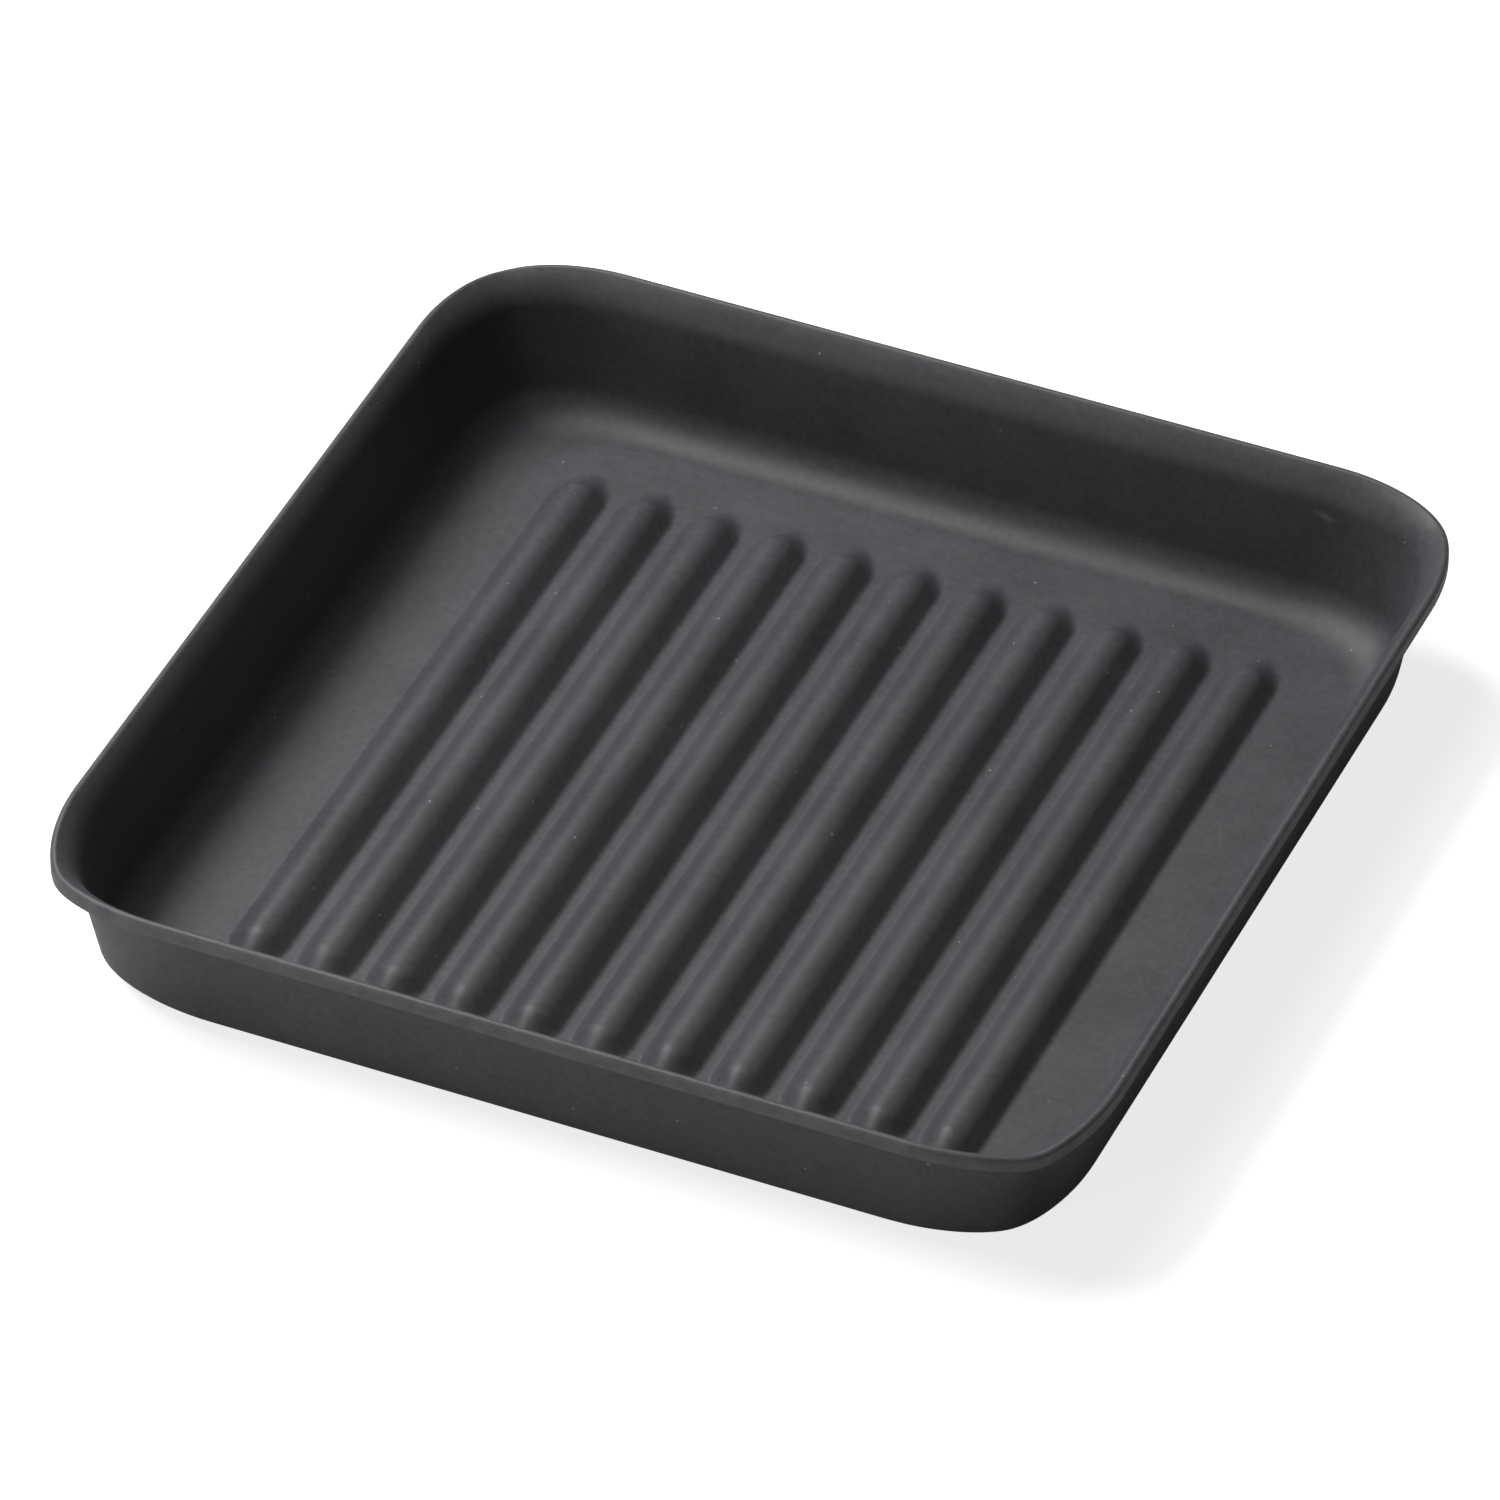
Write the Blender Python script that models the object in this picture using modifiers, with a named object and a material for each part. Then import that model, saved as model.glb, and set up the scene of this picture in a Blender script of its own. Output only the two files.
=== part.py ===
"""A shallow ribbed tray, pressed from one sheet of coated steel.

Metres, +Z up. The origin is under the middle of the tray, on the surface it stands on.
X runs across the ribs and Y runs along them.
"""
from math import atan, cos, hypot, pi, radians, sin, sqrt, tan

import bmesh
import bpy

# Overall size, to the outside of the rim
WIDTH = 0.230
DEPTH = 0.233
HEIGHT = 0.0334
SHEET = 0.0008

# Walls. Draft is the lean of the straight wall from upright, and the fillet joins it to the floor.
DRAFT = radians(8.4)
FILLET = 0.0083

# Corners in plan. The radius is the mean one at the foot of the flare. The curve is gentler than that
# where it leaves the sides and tighter in its middle.
CORNER_RADIUS = 0.032
CORNER_TIGHTENING = 0.0014

# Rim. The wall flares out to a lean from upright, wider in the corners, then folds over into a lip.
FLARE_LENGTH = 0.0085
SIDE_FLARE = radians(46)
CORNER_FLARE = radians(65)
FOLD_RADIUS = 0.001
LIP_LENGTH = 0.0022

# Ribs, pressed up out of the floor and hollow underneath
RIB_COUNT = 11
RIB_PITCH = 0.0153
RIB_HEIGHT = 0.0045
RIB_FLANK_SLOPE = radians(48)
RIB_CREST_RADIUS = 0.0050
RIB_FOOT_RADIUS = 0.0016
RIB_LEVEL_LENGTH = 0.1562
RIB_END_RUN = 0.0105

# Facets along the curves
CREST_STEPS = 4
FOOT_STEPS = 2
RIB_END_STEPS = 6
FILLET_STEPS = 4
FLARE_STEPS = 4
FOLD_STEPS = 3
CORNER_STEPS = 10
SIDE_STEPS = 7
SHARP_ANGLE = radians(50)

# Coated steel: a dark, neutral grey with a satin surface
COATING_COLOUR = (0.042, 0.042, 0.045, 1.0)
COATING_ROUGHNESS = 0.42

# Lengths that follow from the ones above
FLARE_RADIUS = FLARE_LENGTH / (SIDE_FLARE - DRAFT)
RIM_REACH = FLARE_RADIUS * (cos(DRAFT) - cos(SIDE_FLARE)) + FOLD_RADIUS * (1 + cos(SIDE_FLARE))
RIM_RISE = FLARE_RADIUS * (sin(SIDE_FLARE) - sin(DRAFT)) + FOLD_RADIUS * (1 - sin(SIDE_FLARE))
WALL_TOP = HEIGHT - RIM_RISE
WALL_HALF_WIDTH = WIDTH / 2 - RIM_REACH
WALL_HALF_DEPTH = DEPTH / 2 - RIM_REACH
CORNER_DRAFT = atan(sqrt(2) * tan(DRAFT))
CREST_HALF_WIDTH = RIB_CREST_RADIUS * sin(RIB_FLANK_SLOPE)
FLANK_TOP = RIB_HEIGHT - RIB_CREST_RADIUS * (1 - cos(RIB_FLANK_SLOPE))
FLANK_BOTTOM = RIB_FOOT_RADIUS * (1 - cos(RIB_FLANK_SLOPE))
FOOT_START = CREST_HALF_WIDTH + (FLANK_TOP - FLANK_BOTTOM) / tan(RIB_FLANK_SLOPE)
RIB_HALF_WIDTH = FOOT_START + RIB_FOOT_RADIUS * sin(RIB_FLANK_SLOPE)


def clear_scene():
    for existing in list(bpy.data.objects):
        bpy.data.objects.remove(existing, do_unlink=True)


def between(first, second, share):
    return first + (second - first) * share


def rib_profile(distance):
    """Height of a rib above the floor, at a distance from its centre line."""
    if distance <= CREST_HALF_WIDTH:
        return sqrt(RIB_CREST_RADIUS ** 2 - distance ** 2) - RIB_CREST_RADIUS + RIB_HEIGHT
    if distance <= FOOT_START:
        return FLANK_TOP - (distance - CREST_HALF_WIDTH) * tan(RIB_FLANK_SLOPE)
    if distance < RIB_HALF_WIDTH:
        return RIB_FOOT_RADIUS - sqrt(RIB_FOOT_RADIUS ** 2 - (RIB_HALF_WIDTH - distance) ** 2)
    return 0.0


def profile_distance(height):
    """Distance from the centre line at which a rib's section has this height."""
    if height >= FLANK_TOP:
        return sqrt(RIB_CREST_RADIUS ** 2 - (RIB_CREST_RADIUS - RIB_HEIGHT + height) ** 2)
    if height >= FLANK_BOTTOM:
        return CREST_HALF_WIDTH + (FLANK_TOP - height) / tan(RIB_FLANK_SLOPE)
    return RIB_HALF_WIDTH - sqrt(RIB_FOOT_RADIUS ** 2 - (RIB_FOOT_RADIUS - height) ** 2)


def rib_centres():
    return [RIB_PITCH * (index - (RIB_COUNT - 1) / 2) for index in range(RIB_COUNT)]


def floor_height(x, y):
    """Top of the floor: each rib's section runs level, then eases down to a rounded end."""
    past_level = min(max(abs(y) - RIB_LEVEL_LENGTH / 2, 0.0) / RIB_END_RUN, 1.0)
    ridge = RIB_HEIGHT * (1 + cos(pi * past_level)) / 2
    nearest = min(abs(x - centre) for centre in rib_centres())
    return SHEET + rib_profile(hypot(nearest, profile_distance(ridge)))


def rib_stations():
    """Where the section of one rib is cut, from its left foot to its right foot."""
    foot = [
        RIB_HALF_WIDTH - RIB_FOOT_RADIUS * sin(RIB_FLANK_SLOPE * step / FOOT_STEPS)
        for step in range(FOOT_STEPS + 1)
    ]
    crest = [
        RIB_CREST_RADIUS * sin(RIB_FLANK_SLOPE * (2 * step / CREST_STEPS - 1))
        for step in range(CREST_STEPS + 1)
    ]
    return [-offset for offset in foot] + crest + foot[::-1]


def across_stations():
    return [centre + offset for centre in rib_centres() for offset in rib_stations()]


def along_stations():
    end = [
        RIB_LEVEL_LENGTH / 2 + RIB_END_RUN * step / RIB_END_STEPS
        for step in range(RIB_END_STEPS + 1)
    ]
    return [-y for y in end[::-1]] + end


def bend(start, first_lean, last_lean, radius, steps):
    """Carry a section of (outward, height) pairs on from its start, round a bend between two leans."""
    outward, height = start
    section = []
    for step in range(1, steps + 1):
        lean = between(first_lean, last_lean, step / steps)
        section.append((
            outward + radius * (cos(first_lean) - cos(lean)),
            height + radius * (sin(lean) - sin(first_lean)),
        ))
    return section


def fillet_section():
    """Inside of the fillet, from the floor's edge up. Outward is measured from the foot of the flare."""
    straight_height = WALL_TOP - SHEET - FILLET * (1 - sin(DRAFT))
    floor_edge = (-straight_height * tan(DRAFT) - FILLET * cos(DRAFT), SHEET)
    return [floor_edge] + bend(floor_edge, pi / 2, DRAFT, -FILLET, FILLET_STEPS)


def rim_section(draft, flare):
    """Inside of the flare from its foot up, then over the fold and down the outside of the lip."""
    section = [(0.0, WALL_TOP)]
    section += bend(section[-1], draft, flare, FLARE_LENGTH / (flare - draft), FLARE_STEPS)
    section += bend(section[-1], flare, pi / 2, FOLD_RADIUS, FOLD_STEPS)
    section += bend(section[-1], pi / 2, pi, FOLD_RADIUS, FOLD_STEPS)
    outward, height = section[-1]
    section.append((outward, height - LIP_LENGTH))
    return section


def wall_level(outward, height, radius, corner_height):
    """One level round the wall, anticlockwise: a rounded rectangle that may dip in its corners."""
    inset = radius - CORNER_TIGHTENING
    centre_x = WALL_HALF_WIDTH + outward - inset
    centre_y = WALL_HALF_DEPTH + outward - inset
    centres = [(centre_x, centre_y), (-centre_x, centre_y), (-centre_x, -centre_y), (centre_x, -centre_y)]
    level = []
    for index, (x, y) in enumerate(centres):
        for step in range(CORNER_STEPS + 1):
            turn = pi / 2 * step / CORNER_STEPS
            facing = pi / 2 * index + turn
            reach = radius - CORNER_TIGHTENING * cos(4 * turn)
            slide = 4 * CORNER_TIGHTENING * sin(4 * turn)
            level.append((
                x + reach * cos(facing) - slide * sin(facing),
                y + reach * sin(facing) + slide * cos(facing),
                between(height, corner_height, sin(2 * turn) ** 2),
            ))
        next_x, next_y = centres[(index + 1) % len(centres)]
        for step in range(1, SIDE_STEPS):
            share = step / SIDE_STEPS
            level.append((
                between(x, next_x, share) + inset * cos(facing),
                between(y, next_y, share) + inset * sin(facing),
                height,
            ))
    return level


def wall_levels():
    """Levels from the floor's edge to the foot of the lip.

    Above the foot of the flare, the corner radius is the one that puts the middle of each corner
    where the corner's own section does.
    """
    levels = [wall_level(outward, height, CORNER_RADIUS, height) for outward, height in fillet_section()]
    side_section = rim_section(DRAFT, SIDE_FLARE)
    corner_section = rim_section(CORNER_DRAFT, CORNER_FLARE)
    for (outward, height), (corner_outward, corner_height) in zip(side_section, corner_section):
        radius = CORNER_RADIUS + (sqrt(2) * outward - corner_outward) / (sqrt(2) - 1)
        levels.append(wall_level(outward, height, radius, corner_height))
    return levels


def add_ribbed_floor(bm):
    """A grid with its lines on the ribs' stations, raised to the ribs' height. Returns its border."""
    across = across_stations()
    along = along_stations()
    grid = bmesh.ops.create_grid(
        bm, x_segments=len(across) - 1, y_segments=len(along) - 1, size=0.5
    )
    for vert in grid["verts"]:
        column = round((vert.co.x + 0.5) * (len(across) - 1))
        row = round((vert.co.y + 0.5) * (len(along) - 1))
        x = across[column]
        y = along[row]
        vert.co = (x, y, floor_height(x, y))
    return [edge for edge in bm.edges if edge.is_boundary]


def add_wall(bm):
    """Loft the wall through its levels. Returns the edges where it meets the floor."""
    levels = [[bm.verts.new(point) for point in level] for level in wall_levels()]
    for lower, upper in zip(levels, levels[1:]):
        for here in range(len(lower)):
            after = (here + 1) % len(lower)
            bm.faces.new((lower[here], upper[here], upper[after], lower[after]))
    foot = levels[0]
    return [bm.edges.get((foot[here], foot[here - 1])) for here in range(len(foot))]


def coated_steel():
    material = bpy.data.materials.new("coated_steel")
    material.use_nodes = True
    shader = material.node_tree.nodes["Principled BSDF"]
    shader.inputs["Base Color"].default_value = COATING_COLOUR
    shader.inputs["Roughness"].default_value = COATING_ROUGHNESS
    shader.inputs["Metallic"].default_value = 0.0
    return material


def pressed_tray(collection):
    """The inside of the tray as one open surface, thickened outwards to the sheet."""
    bm = bmesh.new()
    floor_border = add_ribbed_floor(bm)
    wall_foot = add_wall(bm)
    bmesh.ops.triangle_fill(
        bm, use_beauty=True, edges=floor_border + wall_foot, normal=(0.0, 0.0, 1.0)
    )
    mesh = bpy.data.meshes.new("pressed_tray")
    bm.to_mesh(mesh)
    bm.free()
    mesh.shade_smooth()
    mesh.set_sharp_from_angle(angle=SHARP_ANGLE)
    mesh.materials.append(coated_steel())
    tray = bpy.data.objects.new("pressed_tray", mesh)
    collection.objects.link(tray)
    thicken = tray.modifiers.new("sheet", "SOLIDIFY")
    thicken.thickness = SHEET
    thicken.offset = -1.0
    thicken.use_even_offset = True
    thicken.use_quality_normals = True
    return tray


def main():
    clear_scene()
    collection = bpy.data.collections.new("ribbed_tray")
    bpy.context.scene.collection.children.link(collection)
    pressed_tray(collection)


main()
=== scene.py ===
"""A ribbed tray pressed from one sheet of coated steel: its finished sheet, its coating and a studio.

Metres, +Z up. The origin is under the middle of the tray. X runs across the ribs, Y along them.
"""

from math import atan, cos, hypot, pi, radians, sin, sqrt, tan

import bmesh
import bpy
from mathutils import Matrix, Vector


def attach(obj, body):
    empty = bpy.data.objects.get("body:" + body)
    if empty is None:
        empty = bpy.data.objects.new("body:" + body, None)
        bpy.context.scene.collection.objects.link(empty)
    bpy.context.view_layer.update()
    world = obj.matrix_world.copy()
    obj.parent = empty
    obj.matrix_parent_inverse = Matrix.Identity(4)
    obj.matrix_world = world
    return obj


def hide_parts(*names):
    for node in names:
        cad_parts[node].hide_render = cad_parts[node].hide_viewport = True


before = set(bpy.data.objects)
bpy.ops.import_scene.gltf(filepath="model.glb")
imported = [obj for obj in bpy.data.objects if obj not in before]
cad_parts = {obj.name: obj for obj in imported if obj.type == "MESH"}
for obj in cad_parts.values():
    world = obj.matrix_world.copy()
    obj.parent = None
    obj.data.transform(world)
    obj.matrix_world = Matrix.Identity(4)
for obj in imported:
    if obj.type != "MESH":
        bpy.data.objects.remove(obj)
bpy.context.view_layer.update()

# Overall size to the outside of the rim, and the thickness of the sheet
WIDTH = 0.230
DEPTH = 0.233
HEIGHT = 0.0334
SHEET = 0.0008

# Cut edge of the sheet, under the lip. Edges that turn by more than the angle are rounded.
CUT_EDGE_ANGLE = radians(60)
CUT_EDGE_ROUNDING = 0.0002
CUT_EDGE_STEPS = 3

# Walls. Draft is the lean of the straight wall from upright, and the fillet joins it to the floor.
DRAFT = radians(8.4)
FILLET = 0.0083

# Corners in plan. The radius is the mean one at the foot of the flare. The curve is gentler than that
# where it leaves the sides and tighter in its middle, in one wave per corner.
CORNERS = 4
CORNER_RADIUS = 0.032
CORNER_TIGHTENING = 0.0014

# Rim. The wall flares out to a lean from upright, wider in the corners, then folds over into a lip.
FLARE_LENGTH = 0.0085
SIDE_FLARE = radians(46)
CORNER_FLARE = radians(65)
FOLD_RADIUS = 0.001
LIP_LENGTH = 0.0022

# Ribs pressed up out of the floor. Each runs level, then eases down over its end run.
RIB_COUNT = 11
RIB_PITCH = 0.0153
RIB_HEIGHT = 0.0045
RIB_FLANK_SLOPE = radians(48)
RIB_CREST_RADIUS = 0.0050
RIB_FOOT_RADIUS = 0.0016
RIB_LEVEL_LENGTH = 0.1562
RIB_END_RUN = 0.0105

# Steps along the curves, fine enough for a smooth sheen
CREST_STEPS = 18
FOOT_STEPS = 6
FLANK_STEPS = 3
RIB_END_STEPS = 16
RIB_LEVEL_STEPS = 6
FILLET_STEPS = 14
WALL_STEPS = 5
FLARE_STEPS = 16
FOLD_STEPS = 8
CORNER_STEPS = 36
SIDE_STEPS = 24

# Narrow flat strip round the ribs and inside the foot of the wall, which keeps the sheen there level
FLAT_BORDER = 0.0006

# Coating: the sizes of its patterns, the height of its grain, and its gloss
SPRAY_PATCH = 0.025
GRAIN_SPACING = 0.0015
GRAIN_HEIGHT = 0.00007
# Stretches along the fold over which its thin film and painted highlight vary
THIN_FILM_AND_HIGHLIGHT_STRETCH = 0.005
EDGE_STRETCH = 0.006
DUST_CELL = 0.008
COATING_IOR = 1.4

# Marks on the coating: the mesh's mark for how far over the fold a point lies, and the scuff's place,
# turn and half size
FOLD_MASK = "over_the_fold"
SCUFF_PLACE = (0.0806, 0.1107, 0.0236)
SCUFF_TURN = radians(18)
SCUFF_SIZE = (0.0046, 0.0007, 0.0012)

# Camera: the photograph's direction and distance from the origin, and the small moves to the right and
# up that frame the tray as it does
VIEW_AZIMUTH = radians(23.717)
VIEW_ELEVATION = radians(39.761)
VIEW_DISTANCE = 2.7848
VIEW_RIGHT = -0.00184
VIEW_UP = 0.01362
LENS_MM = 324.65
SENSOR_MM = 36.0

# Studio lamps: compass direction and height in degrees, distance and size in metres, power in watts.
# The compass starts at the front and turns to the right.
LAMPS = {
    "back_left_softbox": (240, 55, 1.25, 0.5, 10.0),
    "front_left_softbox": (292, 55, 1.25, 0.5, 6.0),
    "top_softbox": (260, 75, 1.25, 0.5, 2.3),
    "low_front_softbox": (335, 5, 1.25, 0.2, 2.4),
}

# Table, a hair below the tray so that no two faces share a plane
TABLE_SIZE = 6.0
TABLE_DROP = 0.0002

# White background: its strength to the camera, in the coating's reflections, and as light on the tray
TABLE_WHITE = (0.8, 0.03, 0.0)
WORLD_WHITE = (1.0, 0.3, 0.01)

# The Mix node's sockets by number, because the ones for values and for colours share their names
VALUE_A, VALUE_B, VALUE_RESULT = 2, 3, 0
COLOUR_A, COLOUR_B, COLOUR_RESULT = 6, 7, 2

# Lengths that follow from the ones above
FLARE_RADIUS = FLARE_LENGTH / (SIDE_FLARE - DRAFT)
RIM_REACH = FLARE_RADIUS * (cos(DRAFT) - cos(SIDE_FLARE)) + FOLD_RADIUS * (1 + cos(SIDE_FLARE))
RIM_RISE = FLARE_RADIUS * (sin(SIDE_FLARE) - sin(DRAFT)) + FOLD_RADIUS * (1 - sin(SIDE_FLARE))
WALL_TOP = HEIGHT - RIM_RISE
WALL_HALF_WIDTH = WIDTH / 2 - RIM_REACH
WALL_HALF_DEPTH = DEPTH / 2 - RIM_REACH
CORNER_DRAFT = atan(sqrt(2) * tan(DRAFT))
CREST_HALF_WIDTH = RIB_CREST_RADIUS * sin(RIB_FLANK_SLOPE)
FLANK_TOP = RIB_HEIGHT - RIB_CREST_RADIUS * (1 - cos(RIB_FLANK_SLOPE))
FLANK_BOTTOM = RIB_FOOT_RADIUS * (1 - cos(RIB_FLANK_SLOPE))
FOOT_START = CREST_HALF_WIDTH + (FLANK_TOP - FLANK_BOTTOM) / tan(RIB_FLANK_SLOPE)
RIB_HALF_WIDTH = FOOT_START + RIB_FOOT_RADIUS * sin(RIB_FLANK_SLOPE)
RIB_CENTRES = [RIB_PITCH * (index - (RIB_COUNT - 1) / 2) for index in range(RIB_COUNT)]


def between(first, second, share):
    """The value that lies this share of the way from the first to the second."""
    return first + (second - first) * share


def linear(hex_colour):
    """An sRGB hex colour as linear RGBA."""
    channels = [int(hex_colour[start:start + 2], 16) / 255 for start in (1, 3, 5)]
    return [c / 12.92 if c <= 0.04045 else ((c + 0.055) / 1.055) ** 2.4 for c in channels] + [1.0]


def rib_profile(distance):
    """Height of a rib above the floor, at a distance from its centre line."""
    if distance <= CREST_HALF_WIDTH:
        return sqrt(RIB_CREST_RADIUS ** 2 - distance ** 2) - RIB_CREST_RADIUS + RIB_HEIGHT
    if distance <= FOOT_START:
        return FLANK_TOP - (distance - CREST_HALF_WIDTH) * tan(RIB_FLANK_SLOPE)
    if distance < RIB_HALF_WIDTH:
        return RIB_FOOT_RADIUS - sqrt(RIB_FOOT_RADIUS ** 2 - (RIB_HALF_WIDTH - distance) ** 2)
    return 0.0


def profile_distance(height):
    """Distance from the centre line at which a rib's section has this height."""
    if height >= FLANK_TOP:
        return sqrt(RIB_CREST_RADIUS ** 2 - (RIB_CREST_RADIUS - RIB_HEIGHT + height) ** 2)
    if height >= FLANK_BOTTOM:
        return CREST_HALF_WIDTH + (FLANK_TOP - height) / tan(RIB_FLANK_SLOPE)
    return RIB_HALF_WIDTH - sqrt(RIB_FOOT_RADIUS ** 2 - (RIB_FOOT_RADIUS - height) ** 2)


def floor_height(x, y):
    """Top of the floor: each rib's section runs level, then eases down to a rounded end."""
    past_level = min(max(abs(y) - RIB_LEVEL_LENGTH / 2, 0.0) / RIB_END_RUN, 1.0)
    ridge = RIB_HEIGHT * (1 + cos(pi * past_level)) / 2
    nearest = min(abs(x - centre) for centre in RIB_CENTRES)
    return SHEET + rib_profile(hypot(nearest, profile_distance(ridge)))


def across_stations():
    """Where the floor is cut across the ribs, with a narrow flat border on both sides."""
    foot = [
        RIB_HALF_WIDTH - RIB_FOOT_RADIUS * sin(RIB_FLANK_SLOPE * step / FOOT_STEPS)
        for step in range(FOOT_STEPS + 1)
    ]
    flank = [between(FOOT_START, CREST_HALF_WIDTH, step / FLANK_STEPS) for step in range(1, FLANK_STEPS)]
    crest = [
        RIB_CREST_RADIUS * sin(RIB_FLANK_SLOPE * (2 * step / CREST_STEPS - 1))
        for step in range(CREST_STEPS + 1)
    ]
    rib = [-offset for offset in foot + flank] + crest + (foot + flank)[::-1]
    stations = [centre + offset for centre in RIB_CENTRES for offset in rib]
    return [stations[0] - FLAT_BORDER] + stations + [stations[-1] + FLAT_BORDER]


def along_stations():
    """Where the floor is cut along the ribs, with a narrow flat border at both ends."""
    half_level = RIB_LEVEL_LENGTH / 2
    end = [
        half_level + RIB_END_RUN * step / RIB_END_STEPS
        for step in range(RIB_END_STEPS + 1)
    ]
    end.append(end[-1] + FLAT_BORDER)
    level = [half_level * (2 * step / RIB_LEVEL_STEPS - 1) for step in range(1, RIB_LEVEL_STEPS)]
    return [-y for y in end[::-1]] + level + end


def bend(start, first_lean, last_lean, radius, steps):
    """Carry a section of (outward, height) pairs on from its start, round a bend between two leans."""
    outward, height = start
    section = []
    for step in range(1, steps + 1):
        lean = between(first_lean, last_lean, step / steps)
        section.append((
            outward + radius * (cos(first_lean) - cos(lean)),
            height + radius * (sin(lean) - sin(first_lean)),
        ))
    return section


def lower_section():
    """Inside of the wall from just inside the floor's edge up to the foot of the flare.

    Outward is measured from the foot of the flare.
    """
    fillet_top = SHEET + FILLET * (1 - sin(DRAFT))
    straight = (WALL_TOP - fillet_top) * tan(DRAFT)
    floor_edge = (-straight - FILLET * cos(DRAFT), SHEET)
    section = [(floor_edge[0] - FLAT_BORDER, SHEET), floor_edge]
    section += bend(floor_edge, pi / 2, DRAFT, -FILLET, FILLET_STEPS)
    for step in range(1, WALL_STEPS):
        share = step / WALL_STEPS
        section.append((between(-straight, 0.0, share), between(fillet_top, WALL_TOP, share)))
    return section


def rim_section(draft, flare):
    """Inside of the flare from its foot up, then over the fold and down the outside of the lip."""
    section = [(0.0, WALL_TOP)]
    section += bend(section[-1], draft, flare, FLARE_LENGTH / (flare - draft), FLARE_STEPS)
    section += bend(section[-1], flare, pi / 2, FOLD_RADIUS, FOLD_STEPS)
    section += bend(section[-1], pi / 2, pi, FOLD_RADIUS, FOLD_STEPS)
    outward, height = section[-1]
    section.append((outward, height - LIP_LENGTH))
    return section


def wall_level(outward, height, radius, corner_height):
    """One level round the wall, anticlockwise: a rounded rectangle that may dip in its corners."""
    inset = radius - CORNER_TIGHTENING
    centre_x = WALL_HALF_WIDTH + outward - inset
    centre_y = WALL_HALF_DEPTH + outward - inset
    centres = [
        (centre_x, centre_y), (-centre_x, centre_y), (-centre_x, -centre_y), (centre_x, -centre_y)
    ]
    level = []
    for index, (x, y) in enumerate(centres):
        for step in range(CORNER_STEPS + 1):
            turn = pi / 2 * step / CORNER_STEPS
            facing = pi / 2 * index + turn
            # How far the corner reaches where it faces, and how fast that changes as it turns
            reach = radius - CORNER_TIGHTENING * cos(CORNERS * turn)
            slide = CORNERS * CORNER_TIGHTENING * sin(CORNERS * turn)
            level.append((
                x + reach * cos(facing) - slide * sin(facing),
                y + reach * sin(facing) + slide * cos(facing),
                between(height, corner_height, sin(2 * turn) ** 2),
            ))
        next_x, next_y = centres[(index + 1) % CORNERS]
        for step in range(1, SIDE_STEPS):
            share = step / SIDE_STEPS
            level.append((
                between(x, next_x, share) + inset * cos(facing),
                between(y, next_y, share) + inset * sin(facing),
                height,
            ))
    return level


def wall_levels():
    """Levels from just inside the floor's edge to the foot of the lip.

    Above the foot of the flare, the corner radius is the one that puts the middle of each corner
    where the corner's own section does.
    """
    levels = [wall_level(outward, height, CORNER_RADIUS, height) for outward, height in lower_section()]
    side_section = rim_section(DRAFT, SIDE_FLARE)
    corner_section = rim_section(CORNER_DRAFT, CORNER_FLARE)
    for (outward, height), (corner_outward, corner_height) in zip(side_section, corner_section):
        radius = CORNER_RADIUS + (sqrt(2) * outward - corner_outward) / (sqrt(2) - 1)
        levels.append(wall_level(outward, height, radius, corner_height))
    return levels


def add_ribbed_floor(bm):
    """A grid with its lines on the ribs' stations, raised to the ribs' height. Returns its border."""
    across = across_stations()
    along = along_stations()
    cells_across = len(across) - 1
    cells_along = len(along) - 1
    # The grid starts 1 wide, from minus a half to a half, so a place in it is a share of its cells
    half = 0.5
    grid = bmesh.ops.create_grid(bm, x_segments=cells_across, y_segments=cells_along, size=half)
    for vert in grid["verts"]:
        x = across[round((vert.co.x + half) * cells_across)]
        y = along[round((vert.co.y + half) * cells_along)]
        vert.co = (x, y, floor_height(x, y))
    return [edge for edge in bm.edges if edge.is_boundary]


def add_wall(bm):
    """Loft the wall through its levels. Returns the edges where it meets the floor."""
    mask = bm.verts.layers.float.new(FOLD_MASK)
    levels = [[bm.verts.new(point) for point in level] for level in wall_levels()]
    # The mark grows from 0 where the fold starts to 1 where it has turned down into the lip
    fold_start = len(lower_section()) + FLARE_STEPS
    for index, level in enumerate(levels):
        over_fold = min(max((index - fold_start) / (2 * FOLD_STEPS), 0.0), 1.0)
        for vert in level:
            vert[mask] = over_fold
    for lower, upper in zip(levels, levels[1:]):
        for here in range(len(lower)):
            after = (here + 1) % len(lower)
            bm.faces.new((lower[here], upper[here], upper[after], lower[after]))
    foot = levels[0]
    return [bm.edges.get((foot[here], foot[here - 1])) for here in range(len(foot))]


def add_node(tree, kind, settings=(), inputs=()):
    """One shader node, with its settings and what its sockets take: a value or another node's output."""
    node = tree.nodes.new(kind)
    for name, value in dict(settings).items():
        setattr(node, name, value)
    for socket, value in dict(inputs).items():
        if isinstance(value, bpy.types.NodeSocket):
            tree.links.new(value, node.inputs[socket])
        else:
            node.inputs[socket].default_value = value
    return node


def empty_tree(owner):
    """The node tree of a material or a world, with nothing in it."""
    owner.use_nodes = True
    owner.node_tree.nodes.clear()
    return owner.node_tree


def add_object(name, data):
    """A new object in the scene."""
    item = bpy.data.objects.new(name, data)
    bpy.context.scene.collection.objects.link(item)
    return item


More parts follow.
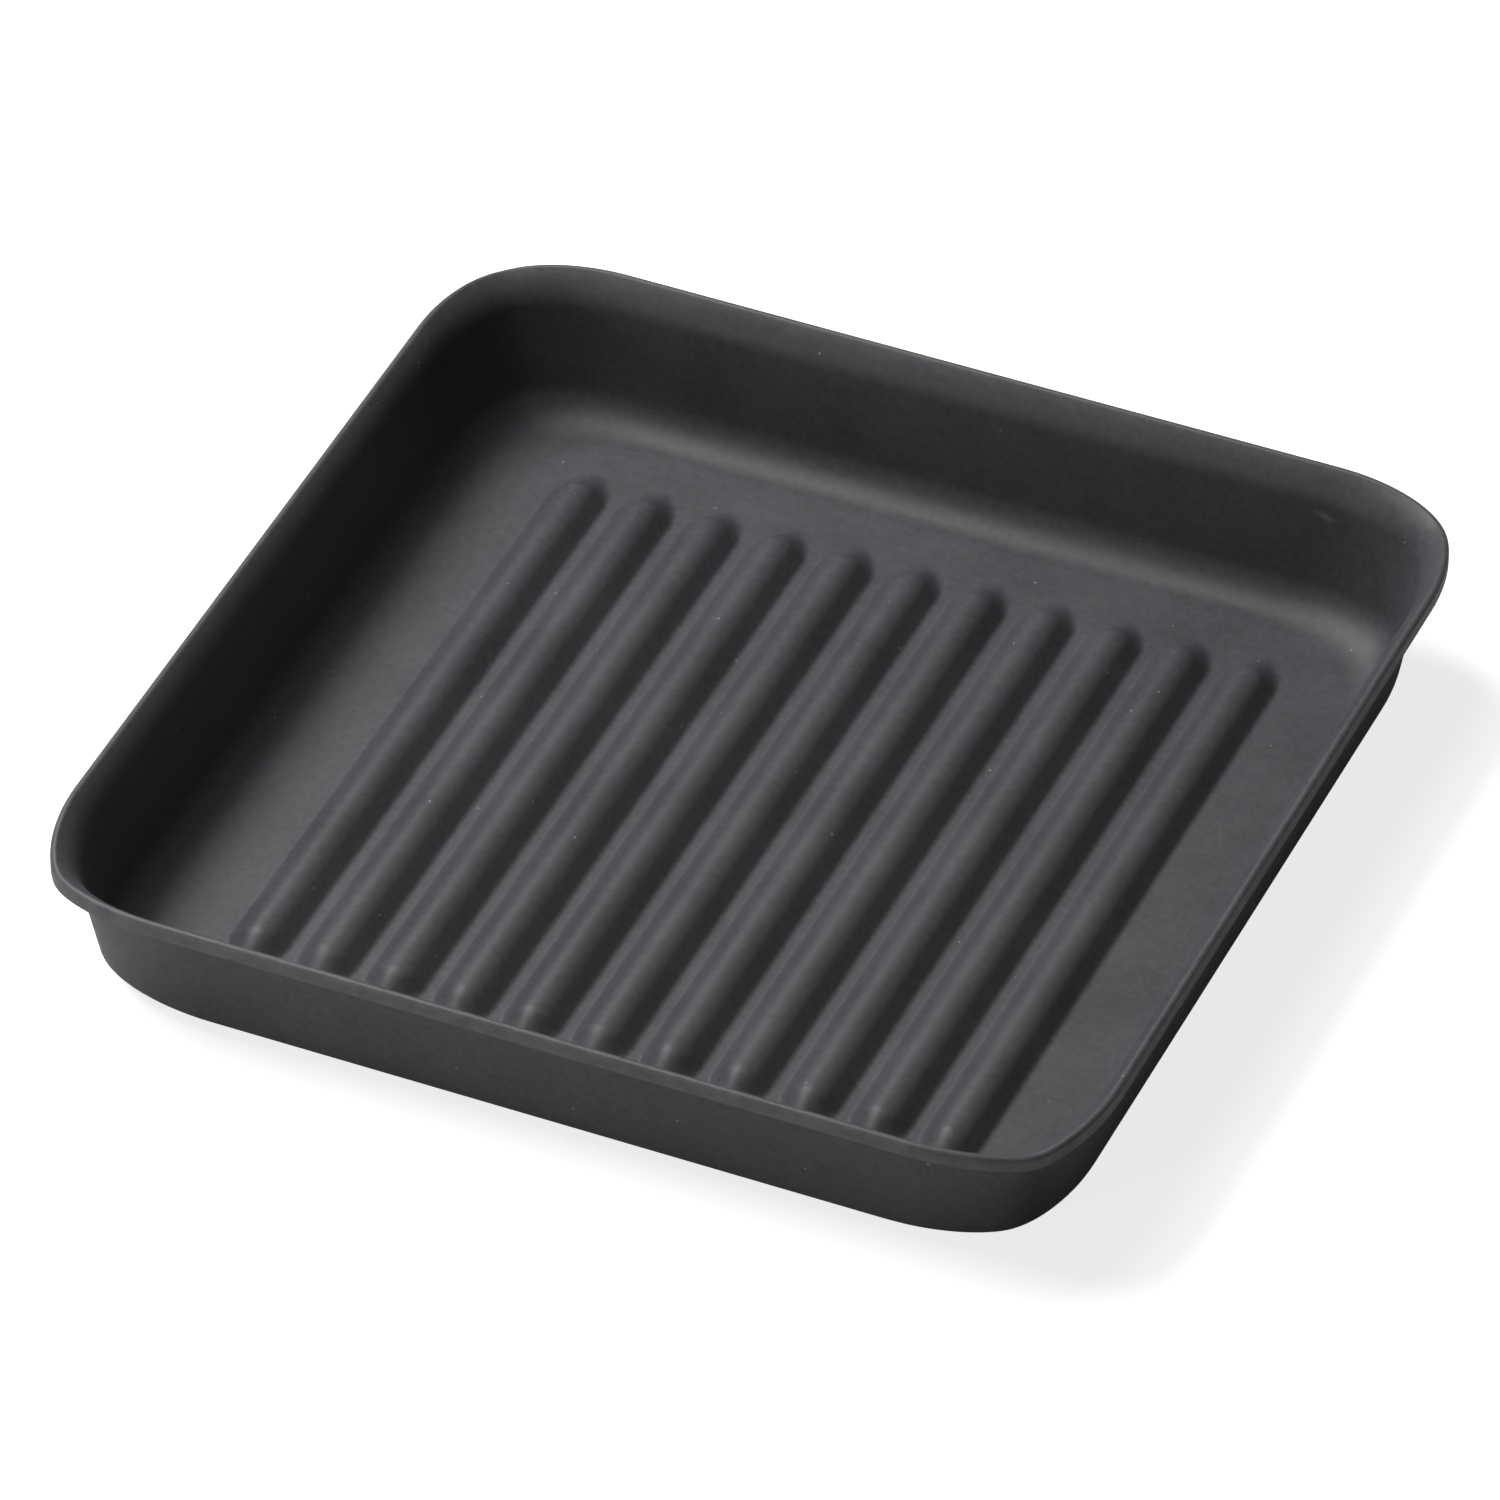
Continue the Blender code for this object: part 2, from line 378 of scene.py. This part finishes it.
def nonstick_coating():
    """Non-stick coating sprayed on steel and baked: a charcoal film with a satin sheen.

    It is mottled in soft patches and paler over the fold of the rim and on the lip, where both thin film
    and a painted highlight are put into its colour. It carries a little dust and one short scuff.
    """
    material = bpy.data.materials.new("baked_nonstick_coating")
    tree = empty_tree(material)
    place = add_node(tree, "ShaderNodeTexCoord").outputs["Object"]
    # Spray mottling, in soft patches about 25 mm across
    patches = add_node(tree, "ShaderNodeTexNoise", inputs={
        "Vector": place, "Scale": 1 / SPRAY_PATCH, "Detail": 3.0, "Roughness": 0.55,
    })
    # Cured film: grain about 1.5 mm apart, coarser than the real grain so that it shows
    grain = add_node(tree, "ShaderNodeTexNoise", inputs={
        "Vector": place, "Scale": 1 / GRAIN_SPACING, "Detail": 2.0, "Roughness": 0.5,
    })
    mottling = add_node(tree, "ShaderNodeMix", inputs={
        "Factor": 0.5, VALUE_A: patches.outputs["Fac"], VALUE_B: grain.outputs["Fac"],
    })
    cloud = add_node(tree, "ShaderNodeMapRange", inputs={
        "Value": mottling.outputs[VALUE_RESULT], "From Min": 0.25, "From Max": 0.75,
    })
    film = add_node(tree, "ShaderNodeMix", {"data_type": "RGBA"}, {
        "Factor": cloud.outputs["Result"],
        COLOUR_A: linear("#3c3b3f"), COLOUR_B: linear("#525155"),
    })
    # Thin film and a painted highlight, in one paler colour: none on the inside of the fold, most on the
    # lip, uneven in stretches of about 5 mm
    fold = add_node(tree, "ShaderNodeAttribute", {"attribute_name": FOLD_MASK})
    cover = add_node(tree, "ShaderNodeTexNoise", inputs={
        "Vector": place, "Scale": 1 / THIN_FILM_AND_HIGHLIGHT_STRETCH, "Detail": 3.0, "Roughness": 0.6,
    })
    thin_film_and_highlight = add_node(tree, "ShaderNodeMapRange", {"interpolation_type": "SMOOTHSTEP"}, {
        "Value": cover.outputs["Fac"], "From Min": 0.3, "From Max": 0.7,
        "To Min": 0.16, "To Max": 0.42,
    })
    fold_thin_film_and_highlight = add_node(tree, "ShaderNodeMath", {"operation": "MULTIPLY"}, {
        0: fold.outputs["Fac"], 1: thin_film_and_highlight.outputs["Result"],
    })
    # Fold and lip paled here: partly thin film, partly a painted highlight
    film_with_fold_thinning_and_highlight = add_node(tree, "ShaderNodeMix", {"data_type": "RGBA"}, {
        "Factor": fold_thin_film_and_highlight.outputs[0],
        COLOUR_A: film.outputs[COLOUR_RESULT], COLOUR_B: linear("#727174"),
    })
    # Scuff on the back wall, about 9 mm long and 2 mm wide, broken up by the grain
    along_scuff = add_node(tree, "ShaderNodeMapping", {"vector_type": "TEXTURE"}, {
        "Vector": place, "Location": SCUFF_PLACE,
        "Rotation": (0.0, SCUFF_TURN, 0.0), "Scale": SCUFF_SIZE,
    })
    from_scuff = add_node(tree, "ShaderNodeVectorMath", {"operation": "LENGTH"}, {
        0: along_scuff.outputs["Vector"],
    })
    scuff = add_node(tree, "ShaderNodeMapRange", {"interpolation_type": "SMOOTHSTEP"}, {
        "Value": from_scuff.outputs["Value"], "From Min": 1.0, "From Max": 0.2,
        "To Min": 0.0, "To Max": 0.42,
    })
    rubbed = add_node(tree, "ShaderNodeMath", {"operation": "MULTIPLY"}, {
        0: scuff.outputs["Result"], 1: grain.outputs["Fac"],
    })
    scuffed = add_node(tree, "ShaderNodeMix", {"data_type": "RGBA"}, {
        "Factor": rubbed.outputs[0],
        COLOUR_A: film_with_fold_thinning_and_highlight.outputs[COLOUR_RESULT], COLOUR_B: linear("#a3a29e"),
    })
    # Dust, as specks up to 0.7 mm across in cells of 8 mm
    cells = add_node(tree, "ShaderNodeTexVoronoi", inputs={"Vector": place, "Scale": 1 / DUST_CELL})
    speck = add_node(tree, "ShaderNodeMapRange", {"interpolation_type": "SMOOTHSTEP"}, {
        "Value": cells.outputs["Distance"], "From Min": 0.045, "From Max": 0.018,
        "To Min": 0.0, "To Max": 0.6,
    })
    dusted = add_node(tree, "ShaderNodeMix", {"data_type": "RGBA"}, {
        "Factor": speck.outputs["Result"],
        COLOUR_A: scuffed.outputs[COLOUR_RESULT], COLOUR_B: linear("#a5a49f"),
    })
    # The grain stands slightly proud, and the satin is a little duller in some patches than in others
    bump = add_node(tree, "ShaderNodeBump", inputs={
        "Strength": 0.5, "Distance": GRAIN_HEIGHT, "Height": grain.outputs["Fac"],
    })
    satin = add_node(tree, "ShaderNodeMapRange", inputs={
        "Value": patches.outputs["Fac"], "From Min": 0.3, "From Max": 0.7,
        "To Min": 0.46, "To Max": 0.53,
    })
    shader = add_node(tree, "ShaderNodeBsdfPrincipled", inputs={
        "Base Color": dusted.outputs[COLOUR_RESULT],
        "Roughness": satin.outputs["Result"],
        "Normal": bump.outputs["Normal"],
        "IOR": COATING_IOR,
    })
    add_node(tree, "ShaderNodeOutputMaterial", inputs={"Surface": shader.outputs["BSDF"]})
    return material


def coated_cut_edge():
    """Sheared edge of the sheet, coated thinly: paler than the faces and a little glossier."""
    material = bpy.data.materials.new("thinly_coated_cut_edge")
    tree = empty_tree(material)
    place = add_node(tree, "ShaderNodeTexCoord").outputs["Object"]
    # Uneven cover along the edge, in stretches about 6 mm long
    cover = add_node(tree, "ShaderNodeTexNoise", inputs={
        "Vector": place, "Scale": 1 / EDGE_STRETCH, "Detail": 4.0, "Roughness": 0.6,
    })
    tone = add_node(tree, "ShaderNodeMix", {"data_type": "RGBA"}, {
        "Factor": cover.outputs["Fac"],
        COLOUR_A: linear("#47474a"), COLOUR_B: linear("#636366"),
    })
    shader = add_node(tree, "ShaderNodeBsdfPrincipled", inputs={
        "Base Color": tone.outputs[COLOUR_RESULT],
        "Roughness": 0.38,
        "IOR": COATING_IOR,
    })
    add_node(tree, "ShaderNodeOutputMaterial", inputs={"Surface": shader.outputs["BSDF"]})
    return material


def background_strength(tree, seen, mirrored, cast):
    """How strong the white is: seen directly, mirrored by the coating, and cast on the tray as light."""
    ray = add_node(tree, "ShaderNodeLightPath")
    direct = add_node(tree, "ShaderNodeMath", {"operation": "MAXIMUM"}, {
        0: ray.outputs["Is Camera Ray"], 1: ray.outputs["Is Transmission Ray"],
    })
    white = add_node(tree, "ShaderNodeMath", {"operation": "MULTIPLY"}, {0: direct.outputs[0], 1: seen})
    indirect = add_node(tree, "ShaderNodeMath", {"operation": "MULTIPLY_ADD"}, {
        0: ray.outputs["Is Glossy Ray"], 1: mirrored - cast, 2: cast,
    })
    strength = add_node(tree, "ShaderNodeMath", {"operation": "MAXIMUM"}, {
        0: white.outputs[0], 1: indirect.outputs[0],
    })
    return strength.outputs[0]


def white_table():
    """Matt white table: the camera sees it as pure white, and it still takes the tray's shadow."""
    material = bpy.data.materials.new("matt_white_table")
    tree = empty_tree(material)
    board = add_node(tree, "ShaderNodeBsdfDiffuse", inputs={"Color": linear("#e4e4e4")})
    glow = add_node(tree, "ShaderNodeEmission", inputs={
        "Color": linear("#ffffff"), "Strength": background_strength(tree, *TABLE_WHITE),
    })
    both = add_node(tree, "ShaderNodeAddShader", inputs={0: board.outputs[0], 1: glow.outputs[0]})
    add_node(tree, "ShaderNodeOutputMaterial", inputs={"Surface": both.outputs[0]})
    return material


def pressed_tray():
    """The inside of the tray as one open surface, thickened outwards, with its cut edges eased."""
    bm = bmesh.new()
    floor_border = add_ribbed_floor(bm)
    wall_foot = add_wall(bm)
    bmesh.ops.triangle_fill(
        bm, use_beauty=True, edges=floor_border + wall_foot, normal=(0.0, 0.0, 1.0)
    )
    mesh = bpy.data.meshes.new("tray_sheet")
    bm.to_mesh(mesh)
    bm.free()
    mesh.shade_smooth()
    mesh.materials.append(nonstick_coating())
    mesh.materials.append(coated_cut_edge())
    tray = add_object("tray_sheet", mesh)
    thicken = tray.modifiers.new("sheet", "SOLIDIFY")
    thicken.thickness = SHEET
    thicken.offset = -1.0
    thicken.use_even_offset = True
    thicken.use_quality_normals = True
    # The rim of the sheet, its cut edge, takes the second material
    thicken.material_offset_rim = 1
    ease = tray.modifiers.new("eased_cut_edge", "BEVEL")
    ease.limit_method = "ANGLE"
    ease.angle_limit = CUT_EDGE_ANGLE
    ease.width = CUT_EDGE_ROUNDING
    ease.segments = CUT_EDGE_STEPS
    return tray


def view_axes(azimuth, elevation):
    """Right, up and back of something that looks at the tray from a direction."""
    right = Vector((cos(azimuth), sin(azimuth), 0.0))
    back = Vector((sin(azimuth) * cos(elevation), -cos(azimuth) * cos(elevation), sin(elevation)))
    return right, back.cross(right), back


def as_matrix(axes):
    """A matrix that turns something to these axes."""
    return Matrix(axes).transposed().to_4x4()


def studio():
    """The table, the lamps and a world that is white to the camera and dim to the tray."""
    mesh = bpy.data.meshes.new("table")
    half = TABLE_SIZE / 2
    corners = [(-half, -half, 0), (half, -half, 0), (half, half, 0), (-half, half, 0)]
    mesh.from_pydata(corners, [], [(0, 1, 2, 3)])
    mesh.materials.append(white_table())
    table = add_object("table", mesh)
    table.location.z = -TABLE_DROP
    for name, (compass, height, distance, size, watts) in LAMPS.items():
        lamp = bpy.data.lights.new(name, "AREA")
        lamp.shape = "DISK"
        lamp.size = size
        lamp.energy = watts
        right, up, back = view_axes(radians(compass), radians(height))
        holder = add_object(name, lamp)
        holder.matrix_world = Matrix.Translation(back * distance) @ as_matrix((right, up, back))
    world = bpy.data.worlds.new("white_studio")
    tree = empty_tree(world)
    sky = add_node(tree, "ShaderNodeBackground", inputs={
        "Color": linear("#ffffff"), "Strength": background_strength(tree, *WORLD_WHITE),
    })
    add_node(tree, "ShaderNodeOutputWorld", inputs={"Surface": sky.outputs[0]})
    bpy.context.scene.world = world


def add_camera():
    """The camera at the photograph's viewing angle."""
    lens = bpy.data.cameras.new("camera")
    lens.lens = LENS_MM
    lens.sensor_width = SENSOR_MM
    camera = add_object("camera", lens)
    right, up, back = view_axes(VIEW_AZIMUTH, VIEW_ELEVATION)
    place = right * VIEW_RIGHT + up * VIEW_UP + back * VIEW_DISTANCE
    camera.matrix_world = Matrix.Translation(place) @ as_matrix((right, up, back))
    bpy.context.scene.camera = camera


tray_sheet = pressed_tray()
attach(tray_sheet, "root")
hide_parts("pressed_tray")
studio()
add_camera()
bpy.context.scene.view_settings.view_transform = "Standard"
